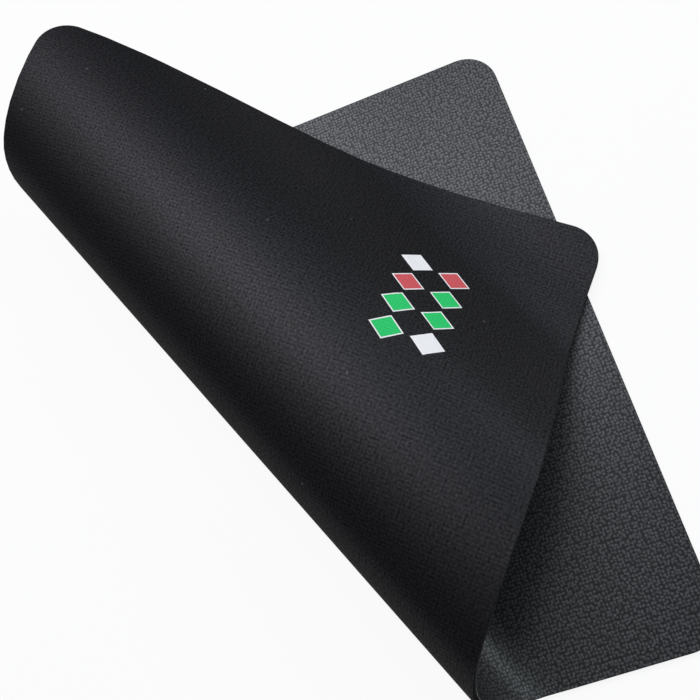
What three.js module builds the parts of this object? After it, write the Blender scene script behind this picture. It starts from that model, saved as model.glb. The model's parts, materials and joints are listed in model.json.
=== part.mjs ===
// A cloth-topped desk mouse pad with a rubber base, lying cloth side down.
// One end is rolled up and over, so that it comes to rest cloth side up on the rubber.
//
// The pad is drawn flat, x along its long side, y along its short side and z through its thickness.
// It is cut into strips along lines beside the fold, and a hinge on each of these lines turns everything
// beyond it. Turned by its own share, each hinge makes the roll; turned back, the pad lies flat.
import * as THREE from 'three';

// The flat pad, in millimetres
const PAD_LENGTH = 240;
const PAD_WIDTH = 200;
const CORNER_RADIUS = 11;
const CLOTH_THICKNESS = 0.5;
const RUBBER_THICKNESS = 1.5;

// How much of each long side is rolled over, from the rolled short side, in millimetres
const ROLLED_FAR = 98;
const ROLLED_NEAR = 194;

// The roll at the middle of the thickness: it rises, crowns, slopes down straight and settles level
const RISE_RADIUS = 18.5;
const RISE_ANGLE = 158;
const CROWN_RADIUS = 53;
const SLOPE_ANGLE = 43;
const SETTLE_RADIUS = 42;

// Strips that share each bend
const RISE_STRIPS = 8;
const CROWN_STRIPS = 4;
const SETTLE_STRIPS = 3;

// Clearances, in millimetres: between strips at their closest, and under the end that lies on the base
const STRIP_CLEARANCE = 0.2;
const REST_CLEARANCE = 0.3;

// Points on a rounded corner, per eighth of a turn
const CORNER_DIVISIONS = 4;

const CLOTH_FINISH = { color: 0x17171b, roughness: 0.9, metalness: 0 };
const RUBBER_FINISH = { color: 0x3f4344, roughness: 0.75, metalness: 0 };

// Sizes that follow from those above
const PAD_THICKNESS = CLOTH_THICKNESS + RUBBER_THICKNESS;
const REST_HEIGHT = PAD_THICKNESS + REST_CLEARANCE;
const HALF_TURN = 180;
const CROWN_ANGLE = HALF_TURN + SLOPE_ANGLE - RISE_ANGLE;
const radians = THREE.MathUtils.degToRad;

// The fold's own directions in the flat pad: along its line, and across it towards the rolled end
const foldFar = new THREE.Vector2(PAD_LENGTH - ROLLED_FAR, 0);
const foldNear = new THREE.Vector2(PAD_LENGTH - ROLLED_NEAR, PAD_WIDTH);
const foldMiddle = foldFar.clone().lerp(foldNear, 0.5);
const along = foldNear.clone().sub(foldFar).normalize();
const across = new THREE.Vector2(along.y, -along.x);
const liftAxis = new THREE.Vector3(-along.x, -along.y, 0);

// How far a flat point lies past the start of the fold
function reachOf(point) {
  return point.clone().sub(foldFar).dot(across);
}

// The hinges of one bend, each in the middle of its share of the arc
function bendHinges(name, count, radius, angle, start) {
  const turn = radians(angle) / count;
  const pitch = radius * Math.abs(turn);
  return Array.from({ length: count }, (_, index) => ({
    name: `${name}_${String(index + 1).padStart(2, '0')}`,
    reach: start + (index + 0.5) * pitch,
    turn,
  }));
}

// All hinges, from the base to the rolled end, for a given length of straight slope
function rollHinges(slopeLength) {
  const crownStart = RISE_RADIUS * radians(RISE_ANGLE);
  const slopeStart = crownStart + CROWN_RADIUS * radians(CROWN_ANGLE);
  return [
    ...bendHinges('rise', RISE_STRIPS, RISE_RADIUS, RISE_ANGLE, 0),
    ...bendHinges('crown', CROWN_STRIPS, CROWN_RADIUS, CROWN_ANGLE, crownStart),
    ...bendHinges('settle', SETTLE_STRIPS, SETTLE_RADIUS, -SLOPE_ANGLE, slopeStart + slopeLength),
  ];
}

// How high the last hinge ends up above the first one
function rollHeight(hinges) {
  let angle = 0;
  let height = 0;
  for (let index = 0; index + 1 < hinges.length; index += 1) {
    angle += hinges[index].turn;
    height += (hinges[index + 1].reach - hinges[index].reach) * Math.sin(angle);
  }
  return height;
}

// The slope is as long as it takes to bring the rolled end down onto the base
function slopeLengthToRest() {
  const heightToLose = rollHeight(rollHinges(0)) - REST_HEIGHT;
  return heightToLose / Math.sin(radians(SLOPE_ANGLE));
}

// The pad's outline with its rounded corners, as a list of points
function padOutline() {
  const left = CORNER_RADIUS;
  const right = PAD_LENGTH - CORNER_RADIUS;
  const bottom = CORNER_RADIUS;
  const top = PAD_WIDTH - CORNER_RADIUS;
  const quarter = Math.PI / 2;
  const outline = new THREE.Shape();
  outline.moveTo(left, 0);
  outline.lineTo(right, 0);
  outline.absarc(right, bottom, CORNER_RADIUS, -quarter, 0);
  outline.lineTo(PAD_LENGTH, top);
  outline.absarc(right, top, CORNER_RADIUS, 0, quarter);
  outline.lineTo(left, PAD_WIDTH);
  outline.absarc(left, top, CORNER_RADIUS, quarter, 2 * quarter);
  outline.lineTo(0, bottom);
  outline.absarc(left, bottom, CORNER_RADIUS, 2 * quarter, 3 * quarter);
  return outline.getPoints(CORNER_DIVISIONS);
}

// Keeps the part of a convex outline on one side of a line: side 1 keeps what lies past the reach, -1 the rest
function trimmed(points, reach, side) {
  const kept = [];
  points.forEach((point, index) => {
    const next = points[(index + 1) % points.length];
    const here = side * (reachOf(point) - reach);
    const there = side * (reachOf(next) - reach);
    if (here >= 0) kept.push(point);
    if (here * there < 0) kept.push(point.clone().lerp(next, here / (here - there)));
  });
  return kept;
}

// Half of the room that a hinge leaves between its strips, so that they stay clear when it is turned
function halfGap(hinge) {
  return PAD_THICKNESS / 2 * Math.tan(Math.abs(hinge.turn) / 2) + STRIP_CLEARANCE / 2;
}

// The outline of the strip between two hinges, or up to the edge of the pad where one is missing
function stripOutline(before, after) {
  let points = padOutline();
  if (before) points = trimmed(points, before.reach + halfGap(before), 1);
  if (after) points = trimmed(points, after.reach - halfGap(after), -1);
  return points;
}

// One layer of one strip
function layer(name, points, bottom, thickness, finish) {
  const outline = new THREE.Shape(points);
  const geometry = new THREE.ExtrudeGeometry(outline, { depth: thickness, bevelEnabled: false });
  const mesh = new THREE.Mesh(geometry, new THREE.MeshStandardMaterial(finish));
  mesh.name = name;
  mesh.position.z = bottom;
  return mesh;
}

// Cloth below and rubber above, as the pad lies
function addLayers(group, name, points) {
  group.add(layer(`${name}_cloth`, points, 0, CLOTH_THICKNESS, CLOTH_FINISH));
  group.add(layer(`${name}_rubber`, points, CLOTH_THICKNESS, RUBBER_THICKNESS, RUBBER_FINISH));
}

// The middle of area of an outline
function outlineCentre(points) {
  const sum = new THREE.Vector2();
  points.forEach((point, index) => {
    const next = points[(index + 1) % points.length];
    sum.addScaledVector(point.clone().add(next), point.cross(next) / 6);
  });
  return sum.divideScalar(THREE.ShapeUtils.area(points));
}

// A group that turns its contents about a hinge line and keeps them in flat pad coordinates
function turnedGroup(parent, hinge) {
  const place = foldMiddle.clone().addScaledVector(across, hinge.reach);
  const pivot = new THREE.Vector3(place.x, place.y, PAD_THICKNESS / 2);
  const turned = new THREE.Group();
  turned.name = `${hinge.name}_hinge`;
  turned.position.copy(pivot);
  turned.quaternion.setFromAxisAngle(liftAxis, hinge.turn);
  const flat = new THREE.Group();
  flat.position.copy(pivot).negate();
  turned.add(flat);
  parent.add(turned);
  return flat;
}

// The whole pad, with its origin in the middle of the face that lies on the desk
function mousePad() {
  const hinges = rollHinges(slopeLengthToRest());
  const baseOutline = stripOutline(null, hinges[0]);
  const deskCentre = outlineCentre(baseOutline);
  const pad = new THREE.Group();
  pad.name = 'mouse_pad';
  pad.position.set(-deskCentre.x, -deskCentre.y, 0);
  addLayers(pad, 'base', baseOutline);
  let carrier = pad;
  hinges.forEach((hinge, index) => {
    carrier = turnedGroup(carrier, hinge);
    addLayers(carrier, hinge.name, stripOutline(hinge, hinges[index + 1]));
  });
  const root = new THREE.Group();
  root.add(pad);
  return root;
}

export default mousePad();
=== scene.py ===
"""Dresses a cloth-topped mouse pad, rolled over at one end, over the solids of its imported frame."""
import json
import math

import bmesh
import bpy
from bpy.props import FloatProperty, FloatVectorProperty, PointerProperty
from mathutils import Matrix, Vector

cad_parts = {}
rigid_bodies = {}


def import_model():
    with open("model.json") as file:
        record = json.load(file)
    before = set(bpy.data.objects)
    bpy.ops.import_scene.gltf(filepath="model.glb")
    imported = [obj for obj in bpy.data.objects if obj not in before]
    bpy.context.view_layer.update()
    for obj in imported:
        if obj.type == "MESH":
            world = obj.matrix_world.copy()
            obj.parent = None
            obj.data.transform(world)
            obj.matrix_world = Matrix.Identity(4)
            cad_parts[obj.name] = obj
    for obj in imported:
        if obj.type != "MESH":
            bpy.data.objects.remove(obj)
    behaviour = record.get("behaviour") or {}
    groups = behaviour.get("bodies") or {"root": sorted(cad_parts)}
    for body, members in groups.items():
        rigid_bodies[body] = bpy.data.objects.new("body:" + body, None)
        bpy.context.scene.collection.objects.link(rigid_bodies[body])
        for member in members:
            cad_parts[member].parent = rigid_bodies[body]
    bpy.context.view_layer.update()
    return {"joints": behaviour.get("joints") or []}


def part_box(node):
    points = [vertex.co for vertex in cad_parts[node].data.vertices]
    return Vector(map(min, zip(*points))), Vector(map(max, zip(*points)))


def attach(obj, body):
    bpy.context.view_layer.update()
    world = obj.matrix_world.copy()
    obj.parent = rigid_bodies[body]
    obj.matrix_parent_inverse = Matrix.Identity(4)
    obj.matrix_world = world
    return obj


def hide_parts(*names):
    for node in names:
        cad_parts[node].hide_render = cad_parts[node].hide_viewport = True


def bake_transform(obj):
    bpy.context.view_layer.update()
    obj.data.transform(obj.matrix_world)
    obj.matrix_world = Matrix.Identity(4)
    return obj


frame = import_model()

bl_info = {
    "name": "Rolled Mouse Pad",
    "version": (1, 0, 0),
    "blender": (4, 5, 0),
    "location": "View3D > Sidebar > Mouse Pad",
    "description": "Makes a cloth and rubber mouse pad with one end rolled over",
    "category": "Add Mesh",
}

UP = Vector((0, 0, 1))
WHITE = (1, 1, 1, 1)

# The bodies at the two ends of the chain of hinges
FIRST_HINGE = frame["joints"][0]
LAST_HINGE = frame["joints"][-1]
BASE = FIRST_HINGE["parent"]
ROLLED_END = LAST_HINGE["child"]

# The fold's own directions: along its line, and across it towards the rolled end
ALONG = Vector(FIRST_HINGE["axis"])
ACROSS = ALONG.cross(UP)

# The hinges lie in the middle of the pad's thickness
MIDDLE_HEIGHT = FIRST_HINGE["pos_m"][2]
PAD_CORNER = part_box("base_cloth")[0]

# Each point keeps its place on the flat pad under this name, and the patterns follow it
FLAT_PLACE = "flat_place"

# How finely the corners and rims are rounded
CORNER_SEGMENTS = 20
RIM_SEGMENTS = 3

# Lengths and heights that differ by less count as equal, and faces that agree by more look the same way
EQUAL_LENGTH = 1e-9
EQUAL_HEIGHT = 1e-6

# The knit: how far a loop's sides trail its middle, and how much of a rib shows between two loops
LOOP_TRAIL = 0.4
RIB_BETWEEN = 0.35

# How strongly loops and fuzz show in the cloth's colour and in its gleam, and what is there without them
COLOUR_PLAIN = 0.2
COLOUR_KNIT = 0.6
COLOUR_FUZZ = 1.6
GLEAM_PLAIN = 0.72
GLEAM_KNIT = 0.4
GLEAM_FUZZ = 2.2

# Stray lint: distance between fibres, size of one as a share of that, and which patches have any
LINT_DISTANCE = 0.024
LINT_REACH = 0.03
LINT_PATCHES = 0.56

# The print: two rows of lozenges, whose kinds step on from one row to the next.
# Kinds 0 and 1 are green, 2 is red and 3 is all white.
PRINT_COLUMNS = 4
PRINT_ROWS = 2
PRINT_KINDS = 4
KIND_STEP = 3
LAST_GREEN = 1
RED = 2

# Where a lozenge and its coloured heart end, measured from the middle of the tile
LOZENGE_EDGE = (0.42, 0.435)
HEART_EDGE = (0.37, 0.385)

# How far the ink covers the cloth between the loops, and how much of the gleam it takes away
INK_COVER = 0.95
INK_DULLING = 0.8

# The rubber's studs: how unevenly they stand, and where one slopes from its top to its foot
STUD_SCATTER = 0.55
STUD_SLOPE = (0.2, 0.55)

# How strongly studs, grain and patches show in the rubber's colour
STUD_EVEN = 0.5
STUD_UNEVEN = 0.4
GRAIN_SHADE = 2
PATCH_SHADE = 0.25

# Over what height the look of the rubber's cut edge ends
CUT_BLUR = 0.0002

# The floor, which lies just under the pad
FLOOR_SIZE = 6
FLOOR_DROP = 0.0003

# Between which rises of a ray above the horizon the white that mirrors show comes to its end
HAZE_END = (0.02, 0.06)

# The camera sees nothing nearer than this
NEAREST_SEEN = 0.01

# The Mix node has several sockets of each name. These are the ones for colours.
MIX_SHARE = 0
MIX_FIRST = 6
MIX_SECOND = 7
MIX_RESULT = 2


class PadSizes(bpy.types.PropertyGroup):
    """Sizes of the flat pad"""

    length: FloatProperty(
        name="Length", description="Long side of the flat pad", default=0.24, unit="LENGTH")
    width: FloatProperty(
        name="Width", description="Short side of the flat pad", default=0.2, unit="LENGTH")
    corner_radius: FloatProperty(
        name="Corner Radius", description="Rounding of the four corners", default=0.011, unit="LENGTH")
    cloth_thickness: FloatProperty(
        name="Cloth", description="Thickness of the knitted top", default=0.0005, unit="LENGTH")
    rubber_thickness: FloatProperty(
        name="Rubber", description="Thickness of the rubber base", default=0.0015, unit="LENGTH")
    cloth_rim: FloatProperty(
        name="Cloth Rim", description="Rounding of the cloth's cut edge", default=0.00016, unit="LENGTH")
    rubber_rim: FloatProperty(
        name="Rubber Rim", description="Rounding of the rubber's cut edge", default=0.00022,
        unit="LENGTH")
    cell_length: FloatProperty(
        name="Cell Length", description="Longest face along the fold", default=0.02, unit="LENGTH")


class ClothLook(bpy.types.PropertyGroup):
    """Finish of the knitted top and of its print"""

    thread: FloatVectorProperty(
        name="Thread", description="Colour of the loops", default=(0.0068, 0.0068, 0.009),
        subtype="COLOR")
    hollow: FloatVectorProperty(
        name="Hollow", description="Colour between the loops", default=(0.0018, 0.0018, 0.0024),
        subtype="COLOR")
    lint: FloatVectorProperty(
        name="Lint", description="Colour of stray fibres", default=(0.055, 0.055, 0.055),
        subtype="COLOR")
    gleam: FloatProperty(
        name="Gleam", description="Strength of the soft gleam on the loops", default=0.087,
        subtype="FACTOR")
    stitch: FloatProperty(
        name="Stitch", description="Width of one knitted loop", default=0.00112, unit="LENGTH")
    tile: FloatVectorProperty(
        name="Tile", description="Length and height of one lozenge of the print",
        default=(0.0098, 0.0125), size=2, unit="LENGTH")
    print_place: FloatVectorProperty(
        name="Print Place", description="Corner of the print on the flat pad", default=(0.117, 0.058),
        size=2, unit="LENGTH")
    print_green: FloatVectorProperty(
        name="Print Green", description="First ink", default=(0.01, 0.6, 0.14), subtype="COLOR")
    print_white: FloatVectorProperty(
        name="Print White", description="Second ink", default=(0.95, 0.95, 0.93), subtype="COLOR")
    print_red: FloatVectorProperty(
        name="Print Red", description="Third ink", default=(0.66, 0.09, 0.1), subtype="COLOR")


class RubberLook(bpy.types.PropertyGroup):
    """Finish of the rubber base"""

    stud: FloatVectorProperty(
        name="Stud", description="Colour of the grip's raised studs", default=(0.074, 0.08, 0.0795),
        subtype="COLOR")
    groove: FloatVectorProperty(
        name="Groove", description="Colour between the studs", default=(0.0105, 0.0115, 0.012),
        subtype="COLOR")
    pitch: FloatProperty(
        name="Pitch", description="Distance between two studs", default=0.00105, unit="LENGTH")
    cut: FloatVectorProperty(
        name="Cut", description="Colour of the cut edges", default=(0.006, 0.0062, 0.0066),
        subtype="COLOR")
    cut_height: FloatProperty(
        name="Cut Height", description="How far up the cut edge reaches", default=0.0016, unit="LENGTH")


class StageLook(bpy.types.PropertyGroup):
    """Camera, lamps and floor"""

    camera_place: FloatVectorProperty(
        name="Camera Place", description="Where the camera stands",
        default=(-0.01195, 0.07974, 0.25758), subtype="TRANSLATION")
    camera_turn: FloatVectorProperty(
        name="Camera Turn", description="How the camera is turned",
        default=(math.radians(13.8403), math.radians(12.5425), math.radians(162.7167)),
        subtype="EULER")
    camera_lens: FloatProperty(
        name="Lens", description="Focal length in millimetres", default=42.753)
    floor_colour: FloatVectorProperty(
        name="Floor", description="Colour of the floor", default=(0.92, 0.92, 0.92), subtype="COLOR")
    floor_glow: FloatProperty(
        name="Floor Glow", description="How far the floor is lifted to white near the pad", default=0.9,
        subtype="FACTOR")
    floor_fade: FloatVectorProperty(
        name="Floor Fade", description="Between which distances the floor fades to plain white",
        default=(0.4, 2), size=2, unit="LENGTH")
    top_power: FloatProperty(
        name="Top Power", description="Power of the long lamp overhead", default=9.2, unit="POWER")
    top_colour: FloatVectorProperty(
        name="Top Colour", description="Colour of the long lamp overhead", default=(0.92, 0.91, 1),
        subtype="COLOR")
    top_size: FloatVectorProperty(
        name="Top Size", description="Sides of the long lamp overhead", default=(0.4, 0.8), size=2,
        unit="LENGTH")
    top_place: FloatVectorProperty(
        name="Top Place", description="Where the long lamp overhead hangs",
        default=(0.2438, -0.5079, 1.0596), subtype="TRANSLATION")
    high_side_power: FloatProperty(
        name="High Side Power", description="Power of the higher lamp at the side", default=2.1,
        unit="POWER")
    low_side_power: FloatProperty(
        name="Low Side Power", description="Power of the lower lamp at the side", default=3.6,
        unit="POWER")
    side_colour: FloatVectorProperty(
        name="Side Colour", description="Colour of each lamp at the side", default=(0.88, 0.95, 1),
        subtype="COLOR")
    side_size: FloatVectorProperty(
        name="Side Size", description="Sides of each lamp at the side", default=(0.4, 0.4), size=2,
        unit="LENGTH")
    high_side_place: FloatVectorProperty(
        name="High Side Place", description="Where the higher lamp at the side hangs",
        default=(-0.2715, -0.5473, 1.0328), subtype="TRANSLATION")
    low_side_place: FloatVectorProperty(
        name="Low Side Place", description="Where the lower lamp at the side stands",
        default=(-0.8862, -0.4254, 0.6883), subtype="TRANSLATION")
    sky_colour: FloatVectorProperty(
        name="Sky", description="Colour of the even light all round", default=(0.08, 0.083, 0.09),
        subtype="COLOR")


class Bend:
    """One hinge of the roll, with the smooth curve that the sheet takes round it."""

    def __init__(self, joint):
        place = Vector(joint["pos_m"])
        self.bodies = (joint["parent"], joint["child"])
        self.corner = Vector((place.dot(ACROSS), place.z))
        self.turn = math.radians(joint["range_deg"][1]) * Vector(joint["axis"]).dot(ALONG)

    def settle(self, reach, heading, leg_before, leg_after):
        """Sets where the bend lies on the flat sheet, and between which tangent points."""
        self.legs = (leg_before, leg_after)
        self.reach = reach
        self.start = reach - leg_before
        self.end = reach + leg_after
        self.first = self.corner - leg_before * pointing(heading)
        self.last = self.corner + leg_after * pointing(heading + self.turn)

    def middle(self, reach):
        """Place of the sheet's middle at a reach within the bend, and the way that it heads."""
        before, after = self.legs
        gone = reach - self.start
        spread = after - before
        if abs(spread) < EQUAL_LENGTH:
            share = gone / (2 * before)
        else:
            share = (math.sqrt(before * before + spread * gone) - before) / spread
        inner = self.first.lerp(self.corner, share)
        outer = self.corner.lerp(self.last, share)
        return inner.lerp(outer, share), (outer - inner).normalized()


def pointing(heading):
    """The unit vector of a heading in the roll's profile."""
    return Vector((math.cos(heading), math.sin(heading)))


def roll_bends():
    """The bends from the flat base to the rolled end, worked out from the frame's hinges."""
    bends = [Bend(joint) for joint in frame["joints"]]
    halves = [(after.corner - before.corner).length / 2 for before, after in zip(bends, bends[1:])]
    legs = [halves[0]] + halves + [halves[-1]]
    reach = bends[0].corner.x
    heading = 0.0
    for index, bend in enumerate(bends):
        bend.settle(reach, heading, legs[index], legs[index + 1])
        heading += bend.turn
        reach += 2 * legs[index + 1]
    return bends


def sheet_middle(bends, reach):
    """Place and heading of the sheet's middle at any reach across the fold."""
    if reach <= bends[0].start:
        return Vector((reach, MIDDLE_HEIGHT)), pointing(0)
    for bend in bends:
        if reach <= bend.end:
            return bend.middle(reach)
    place, heading = bends[-1].middle(bends[-1].end)
    return place + (reach - bends[-1].end) * heading, heading


def rolled(bends, flat):
    """Where a point of the flat pad lies once the pad is rolled, and where across and up point there."""
    middle, heading = sheet_middle(bends, flat.dot(ACROSS))
    forward = heading.x * ACROSS + heading.y * UP
    normal = heading.x * UP - heading.y * ACROSS
    place = middle.x * ACROSS + flat.dot(ALONG) * ALONG + middle.y * UP
    return place + (flat.z - MIDDLE_HEIGHT) * normal, forward, normal


def select_edges(wanted):
    """Selects, in edit mode, the edges for which wanted is true, and nothing else."""
    bpy.ops.mesh.select_mode(type="EDGE")
    bpy.ops.mesh.select_all(action="DESELECT")
    mesh = bmesh.from_edit_mesh(bpy.context.object.data)
    for edge in mesh.edges:
        edge.select_set(wanted(edge))
    bmesh.update_edit_mesh(bpy.context.object.data)


def stands(edge):
    """True for an upright edge."""
    first, second = edge.verts
    return abs(first.co.z - second.co.z) > EQUAL_HEIGHT


def activate(piece):
    """Makes a piece the only selected object."""
    bpy.ops.object.select_all(action="DESELECT")
    piece.select_set(True)
    bpy.context.view_layer.objects.active = piece


def cut_across(distance, direction, **cleared):
    """Cuts the mesh in edit mode square to a direction, and fills the cut where a side is cleared."""
    bpy.ops.mesh.select_all(action="SELECT")
    bpy.ops.mesh.bisect(
        plane_co=distance * direction, plane_no=direction, use_fill=bool(cleared), **cleared)


def cut_cells(sizes):
    """Cuts the whole layer in edit mode into cells that follow each other along the fold."""
    corners = [PAD_CORNER + Vector((x, y, 0)) for x in (0, sizes.length) for y in (0, sizes.width)]
    near, *_, far = sorted(corner.dot(ALONG) for corner in corners)
    cells = math.ceil((far - near) / sizes.cell_length)
    for step in range(1, cells):
        cut_across(near + (far - near) * step / cells, ALONG)


def flat_layer(name, sizes, low, high, rim):
    """One layer of the whole pad, flat and with its corners and rims rounded."""
    bpy.ops.object.select_all(action="DESELECT")
    middle = PAD_CORNER + Vector((sizes.length / 2, sizes.width / 2, (low + high) / 2))
    sides = (sizes.length, sizes.width, high - low)
    bpy.ops.mesh.primitive_cube_add(size=1, location=middle, scale=sides)
    layer = bpy.context.object
    layer.name = name
    bpy.ops.object.transform_apply(location=True, rotation=True, scale=True)
    bpy.ops.object.mode_set(mode="EDIT")
    select_edges(stands)
    bpy.ops.mesh.bevel(offset=sizes.corner_radius, segments=CORNER_SEGMENTS, affect="EDGES")
    select_edges(lambda edge: not stands(edge))
    bpy.ops.mesh.bevel(offset=rim, segments=RIM_SEGMENTS, affect="EDGES")
    cut_cells(sizes)
    bpy.ops.object.mode_set(mode="OBJECT")
    return layer


def cut_piece(layer, name, start, end, hinge=None):
    """The part of a flat layer between two reaches, whole on a side with none, and cut at a hinge."""
    activate(layer)
    bpy.ops.object.duplicate()
    piece = bpy.context.object
    piece.name = name
    bpy.ops.object.mode_set(mode="EDIT")
    if start is not None:
        cut_across(start, ACROSS, clear_inner=True)
    if end is not None:
        cut_across(end, ACROSS, clear_outer=True)
    if hinge is not None:
        cut_across(hinge, ACROSS)
    bpy.ops.object.mode_set(mode="OBJECT")
    return piece


def roll_piece(piece, bends, material):
    """Moves a flat piece and its normals into the roll, and keeps its flat places as an attribute."""
    mesh = piece.data
    flat_normals = [face.normal.copy() for face in mesh.polygons]
    places = mesh.attributes.new(FLAT_PLACE, "FLOAT_VECTOR", "POINT")
    turned = []
    for vertex, place in zip(mesh.vertices, places.data):
        place.vector = vertex.co
        vertex.co, forward, normal = rolled(bends, vertex.co)
        turned.append((forward, normal))
    mesh.update()
    mesh.materials.append(material)
    activate(piece)
    bpy.ops.object.shade_smooth()
    corner_normals = []
    for face, flat in zip(mesh.polygons, flat_normals):
        for index in face.vertices:
            forward, normal = turned[index]
            corner_normals.append(
                flat.dot(ACROSS) * forward + flat.dot(ALONG) * ALONG + flat.z * normal)
    mesh.normals_split_custom_set(corner_normals)


def make_layer(name, sizes, low, high, rim, material):
    """Makes all pieces of one layer: the base and the end on the bodies that they move with, and one
    rolled piece round each hinge.
    """
    bends = roll_bends()
    layer = flat_layer(name, sizes, low, high, rim)
    base = cut_piece(layer, f"{name}_base", None, bends[0].start)
    roll_piece(base, bends, material)
    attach(base, BASE)
    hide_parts(f"{BASE}_{name}")
    others = []
    for bend in bends:
        before, after = bend.bodies
        piece = cut_piece(layer, f"{name}_bend_{after}", bend.start, bend.end, bend.reach)
        roll_piece(piece, bends, material)
        start = rolled(bends, bend.start * ACROSS + MIDDLE_HEIGHT * UP)[0]
        end = rolled(bends, bend.end * ACROSS + MIDDLE_HEIGHT * UP)[0]
        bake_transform(piece)
        if after != ROLLED_END:
            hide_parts(f"{after}_{name}")
        others.append(piece)
    end_piece = cut_piece(layer, f"{name}_end", bends[-1].end, None)
    roll_piece(end_piece, bends, material)
    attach(end_piece, ROLLED_END)
    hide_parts(f"{ROLLED_END}_{name}")
    others.append(end_piece)
    bpy.data.objects.remove(layer)
    return base, others


class Value:
    """A number in a material. Arithmetic on it adds Math nodes."""

    def __init__(self, finish, socket):
        self.finish = finish
        self.socket = socket

    def math(self, operation, *terms):
        node = self.finish.node("ShaderNodeMath", {"operation": operation}, dict(enumerate(terms)))
        return Value(self.finish, node.outputs[0])

    def __add__(self, other):
        return self.math("ADD", self, other)

    def __radd__(self, other):
        return self.math("ADD", other, self)

    def __sub__(self, other):
        return self.math("SUBTRACT", self, other)

    def __rsub__(self, other):
        return self.math("SUBTRACT", other, self)

    def __mul__(self, other):
        return self.math("MULTIPLY", self, other)

    def __rmul__(self, other):
        return self.math("MULTIPLY", other, self)

    def __truediv__(self, other):
        return self.math("DIVIDE", self, other)

    def __rtruediv__(self, other):
        return self.math("DIVIDE", other, self)

    def __mod__(self, other):
        return self.math("FLOORED_MODULO", self, other)

    def __lt__(self, other):
        return self.math("LESS_THAN", self, other)

    def __gt__(self, other):
        return self.math("GREATER_THAN", self, other)

    def __abs__(self):
        return self.math("ABSOLUTE", self)

    def floor(self):
        return self.math("FLOOR", self)

    def fraction(self):
        return self.math("FRACT", self)

    def cosine(self):
        return self.math("COSINE", self)

    def ramp(self, low, high):
        """Runs smoothly from 0 at low to 1 at high."""
        node = self.finish.node(
            "ShaderNodeMapRange", {"interpolation_type": "SMOOTHSTEP"},
            {"Value": self, "From Min": low, "From Max": high})
        return Value(self.finish, node.outputs["Result"])


class Nodes:
    """The node tree of a material or a world, emptied."""

    def __init__(self, owner):
        owner.use_nodes = True
        self.tree = owner.node_tree
        self.tree.nodes.clear()

    def node(self, kind, settings=None, sockets=None):
        """Adds a node with its settings, then fills or links its sockets."""
        node = self.tree.nodes.new(kind)
        for key, setting in (settings or {}).items():
            setattr(node, key, setting)
        self.fill(node, sockets or {})
        return node

    def fill(self, node, sockets):
        """Sets or links the sockets of a node."""
        for key, content in sockets.items():
            if isinstance(content, Value):
                content = content.socket
            if isinstance(content, bpy.types.NodeSocket):
                self.tree.links.new(content, node.inputs[key])
            else:
                node.inputs[key].default_value = content

    def value(self, socket):
        """A socket as a number to reckon with."""
        return Value(self, socket)

    def parts(self, vector):
        """The three numbers of a vector."""
        node = self.node("ShaderNodeSeparateXYZ", sockets={"Vector": vector})
        return [self.value(part) for part in node.outputs]

    def seen(self, mirrored=1):
        """1 for a camera ray, mirrored for a ray from gloss or glass, and 0 for one that only lights."""
        rays = self.node("ShaderNodeLightPath").outputs
        camera, gloss, glass = [
            self.value(rays[f"Is {kind} Ray"]) for kind in ("Camera", "Glossy", "Transmission")]
        return camera + mirrored * (gloss + glass)

    def blend(self, share, first, second):
        """A shader between two others."""
        node = self.node(
            "ShaderNodeMixShader", sockets={0: share, 1: first.outputs[0], 2: second.outputs[0]})
        return node.outputs[0]


class Finish(Nodes):
    """A material made of nodes round one surface shader."""

    def __init__(self, name):
        self.material = bpy.data.materials.new(name)
        super().__init__(self.material)
        self.shader = self.node("ShaderNodeBsdfPrincipled")
        self.output = self.node("ShaderNodeOutputMaterial", sockets={"Surface": self.shader.outputs[0]})

    def mix(self, share, first, second):
        """A colour between two others."""
        node = self.node(
            "ShaderNodeMix", {"data_type": "RGBA"},
            {MIX_SHARE: share, MIX_FIRST: whole(first), MIX_SECOND: whole(second)})
        return node.outputs[MIX_RESULT]

    def flat_place(self):
        """The place on the flat pad."""
        return self.node("ShaderNodeAttribute", {"attribute_name": FLAT_PLACE}).outputs["Vector"]

    def noise(self, place, size, detail=3):
        """Soft noise with features of about the given size."""
        node = self.node(
            "ShaderNodeTexNoise", sockets={"Vector": place, "Scale": 1 / size, "Detail": detail})
        return self.value(node.outputs[0])

    def cells(self, place, distance, scatter=1):
        """The outputs of a pattern of cells whose middles lie about the given distance apart."""
        node = self.node(
            "ShaderNodeTexVoronoi", {"voronoi_dimensions": "2D"},
            {"Vector": place, "Scale": 1 / distance, "Randomness": scatter})
        return node.outputs

    def bump(self, height, depth, strength):
        """A normal bent by a height from 0 to 1 that stands for a depth in metres."""
        node = self.node(
            "ShaderNodeBump", sockets={"Height": height, "Distance": depth, "Strength": strength})
        return node.outputs["Normal"]


def whole(colour):
    """A colour with its alpha, or a socket as it is."""
    return colour if isinstance(colour, bpy.types.NodeSocket) else (*colour, 1)


def printed(look, x, y):
    """Masks of the white, green and red inks: a block of white lozenges, most with a coloured heart."""
    across = (x - look.print_place[0]) / look.tile[0]
    down = (y - look.print_place[1]) / look.tile[1]
    inside = (across > 0) * (across < PRINT_COLUMNS) * (down > 0) * (down < PRINT_ROWS)
    spread = abs(across.fraction() - 0.5) + abs(down.fraction() - 0.5)
    kind = (across.floor() + KIND_STEP * down.floor()) % PRINT_KINDS
    lozenge = inside * (1 - spread.ramp(*LOZENGE_EDGE))
    heart = inside * (1 - spread.ramp(*HEART_EDGE))
    return lozenge, heart * (kind < LAST_GREEN + 0.5), heart * (abs(kind - RED) < 0.5)


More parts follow.
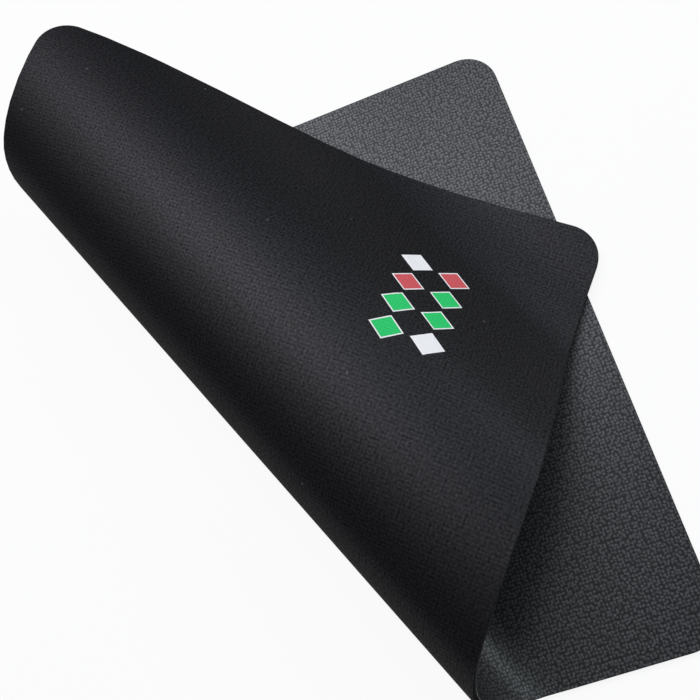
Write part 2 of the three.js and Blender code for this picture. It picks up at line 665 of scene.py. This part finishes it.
def cloth_finish(look):
    """Fine black jersey with round loops, stray lint and a small print."""
    finish = Finish("cloth_knit")
    place = finish.flat_place()
    x, y, _ = finish.parts(place)
    side = (x / look.stitch).fraction() * 2 - 1
    rib = 1 - side * side
    loop = ((y / look.stitch - LOOP_TRAIL * abs(side)) * math.tau).cosine() * 0.5 + 0.5
    knit = rib * (RIB_BETWEEN + (1 - RIB_BETWEEN) * loop)
    fuzz = finish.noise(place, size=0.0008)
    uneven = fuzz - 0.5
    patch = finish.noise(place, size=0.03)
    shade = COLOUR_KNIT * knit + COLOUR_FUZZ * uneven + COLOUR_PLAIN
    colour = finish.mix(shade, look.hollow, look.thread)
    fibre = finish.value(finish.cells(place, LINT_DISTANCE)["Distance"])
    speck = fibre < LINT_REACH * finish.noise(place, size=0.0006, detail=2)
    colour = finish.mix(speck * (patch > LINT_PATCHES), colour, look.lint)
    inked = printed(look, x, y)
    for mask, ink in zip(inked, (look.print_white, look.print_green, look.print_red)):
        colour = finish.mix(mask * (INK_COVER + (1 - INK_COVER) * knit), colour, ink)
    gleam = look.gleam * (GLEAM_PLAIN + GLEAM_FUZZ * uneven + GLEAM_KNIT * knit)
    finish.fill(finish.shader, {
        "Base Color": colour,
        "Roughness": 0.8 + 0.2 * patch,
        "Specular IOR Level": 0.02,
        "Coat Weight": gleam * (1 - INK_DULLING * inked[0]),
        "Coat Roughness": 0.5,
        "Coat IOR": 3,
        "Normal": finish.bump(0.6 * knit + fuzz, depth=0.00008, strength=0.6),
    })
    return finish.material


def rubber_finish(look):
    """Dark rubber moulded with small uneven studs, plain and dull on its cut edges."""
    finish = Finish("rubber_grip")
    place = finish.flat_place()
    height = finish.parts(place)[2]
    cells = finish.cells(place, look.pitch, STUD_SCATTER)
    stud = 1 - finish.value(cells["Distance"]).ramp(*STUD_SLOPE)
    shade = finish.value(cells["Color"])
    grain = finish.noise(place, size=0.0005)
    uneven = grain - 0.5
    patch = finish.noise(place, size=0.05)
    cut = 1 - height.ramp(look.cut_height, look.cut_height + CUT_BLUR)
    light = stud * (STUD_EVEN + STUD_UNEVEN * shade) + GRAIN_SHADE * uneven + PATCH_SHADE * (patch - 0.5)
    colour = finish.mix(light, look.groove, look.stud)
    finish.fill(finish.shader, {
        "Base Color": finish.mix(cut, colour, look.cut),
        "Roughness": 0.6 + 0.4 * uneven + 0.3 * cut,
        "Specular IOR Level": 0.1,
        "Coat Weight": (0.35 + 0.6 * light.ramp(0, 0.9)) * (1 - cut),
        "Coat Roughness": 0.4,
        "Coat IOR": 1.55,
        "Normal": finish.bump(stud * (0.5 + 0.5 * shade) + 0.5 * grain, depth=0.00015, strength=0.22),
    })
    return finish.material


def floor_finish(look):
    """Pale floor, which looks lighter than it lights, keeps a faint shadow and is white far away."""
    finish = Finish("floor_white")
    finish.fill(finish.shader, {
        "Base Color": whole(look.floor_colour),
        "Roughness": 0.9,
        "Specular IOR Level": 0.1,
    })
    glow = finish.node("ShaderNodeEmission", sockets={"Color": WHITE, "Strength": 1})
    spot = finish.node("ShaderNodeTexCoord").outputs["Object"]
    distance = finish.node("ShaderNodeVectorMath", {"operation": "LENGTH"}, {0: spot}).outputs["Value"]
    away = finish.value(distance).ramp(*look.floor_fade)
    share = look.floor_glow + (1 - look.floor_glow) * away
    shown = finish.blend(share * finish.seen(), finish.shader, glow)
    finish.fill(finish.output, {"Surface": shown})
    return finish.material


def dim_world(look):
    """An even dim light all round. It looks white, and mirrors show that white near the horizon only."""
    world = bpy.data.worlds.new("dim_world")
    nodes = Nodes(world)
    light = nodes.node("ShaderNodeBackground", sockets={"Color": whole(look.sky_colour)})
    haze = nodes.node("ShaderNodeBackground", sockets={"Color": WHITE})
    direction = nodes.node("ShaderNodeTexCoord").outputs["Generated"]
    low = 1 - nodes.parts(direction)[2].ramp(*HAZE_END)
    shown = nodes.blend(nodes.seen(low), light, haze)
    nodes.node("ShaderNodeOutputWorld", sockets={"Surface": shown})
    return world


def add_lamp(name, place, power, colour, size):
    """A soft rectangular lamp that looks at the middle of the pad."""
    turn = (-Vector(place)).to_track_quat("-Z", "Y").to_euler()
    bpy.ops.object.light_add(type="AREA", location=place, rotation=turn)
    lamp = bpy.context.object
    lamp.name = name
    lamp.data.energy = power
    lamp.data.color = colour
    lamp.data.shape = "RECTANGLE"
    lamp.data.size, lamp.data.size_y = size


class MakeRubber(bpy.types.Operator):
    """Makes the rubber base in strips rolled round the hinges"""

    bl_idname = "mouse_pad.make_rubber"
    bl_label = "Make Rubber"

    def execute(self, context):
        sizes = context.scene.pad_sizes
        low = sizes.cloth_thickness
        high = low + sizes.rubber_thickness
        material = rubber_finish(context.scene.rubber_look)
        make_layer("rubber", sizes, low, high, sizes.rubber_rim, material)
        return {"FINISHED"}


class MakeCloth(bpy.types.Operator):
    """Makes the knitted top in strips rolled round the hinges"""

    bl_idname = "mouse_pad.make_cloth"
    bl_label = "Make Cloth"

    def execute(self, context):
        sizes = context.scene.pad_sizes
        material = cloth_finish(context.scene.cloth_look)
        base, others = make_layer(
            "cloth", sizes, 0, sizes.cloth_thickness, sizes.cloth_rim, material)
        return {"FINISHED"}


class MakeStage(bpy.types.Operator):
    """Makes the floor, the lamps, the even light and the camera"""

    bl_idname = "mouse_pad.make_stage"
    bl_label = "Make Stage"

    def execute(self, context):
        scene = context.scene
        look = scene.stage_look
        bpy.ops.object.select_all(action="DESELECT")
        bpy.ops.mesh.primitive_plane_add(size=FLOOR_SIZE, location=(0, 0, -FLOOR_DROP))
        floor = context.object
        floor.name = "floor"
        floor.data.materials.append(floor_finish(look))
        add_lamp("top_lamp", look.top_place, look.top_power, look.top_colour, look.top_size)
        side_lamps = (
            ("high_side_lamp", look.high_side_place, look.high_side_power),
            ("low_side_lamp", look.low_side_place, look.low_side_power),
        )
        for name, place, power in side_lamps:
            add_lamp(name, place, power, look.side_colour, look.side_size)
        bpy.ops.object.camera_add(location=look.camera_place, rotation=look.camera_turn)
        camera = context.object
        camera.data.lens = look.camera_lens
        camera.data.clip_start = NEAREST_SEEN
        scene.camera = camera
        scene.world = dim_world(look)
        scene.view_settings.view_transform = "Standard"
        return {"FINISHED"}


class PadPanel(bpy.types.Panel):
    """Lists the pad's operators and settings"""

    bl_idname = "VIEW3D_PT_mouse_pad"
    bl_label = "Mouse Pad"
    bl_space_type = "VIEW_3D"
    bl_region_type = "UI"
    bl_category = "Mouse Pad"

    def draw(self, context):
        for operator in OPERATORS:
            self.layout.operator(operator.bl_idname)
        for name, kind in SETTINGS.items():
            group = getattr(context.scene, name)
            for setting in kind.__annotations__:
                self.layout.prop(group, setting)


SETTINGS = {
    "pad_sizes": PadSizes,
    "cloth_look": ClothLook,
    "rubber_look": RubberLook,
    "stage_look": StageLook,
}
OPERATORS = (MakeRubber, MakeCloth, MakeStage)


def register():
    for made in (*SETTINGS.values(), *OPERATORS, PadPanel):
        bpy.utils.register_class(made)
    for name, group in SETTINGS.items():
        setattr(bpy.types.Scene, name, PointerProperty(type=group))


def unregister():
    for name in SETTINGS:
        delattr(bpy.types.Scene, name)
    for made in (PadPanel, *OPERATORS, *SETTINGS.values()):
        bpy.utils.unregister_class(made)


def main():
    register()
    bpy.ops.mouse_pad.make_rubber()
    bpy.ops.mouse_pad.make_cloth()
    bpy.ops.mouse_pad.make_stage()


if __name__ == "__main__":
    main()
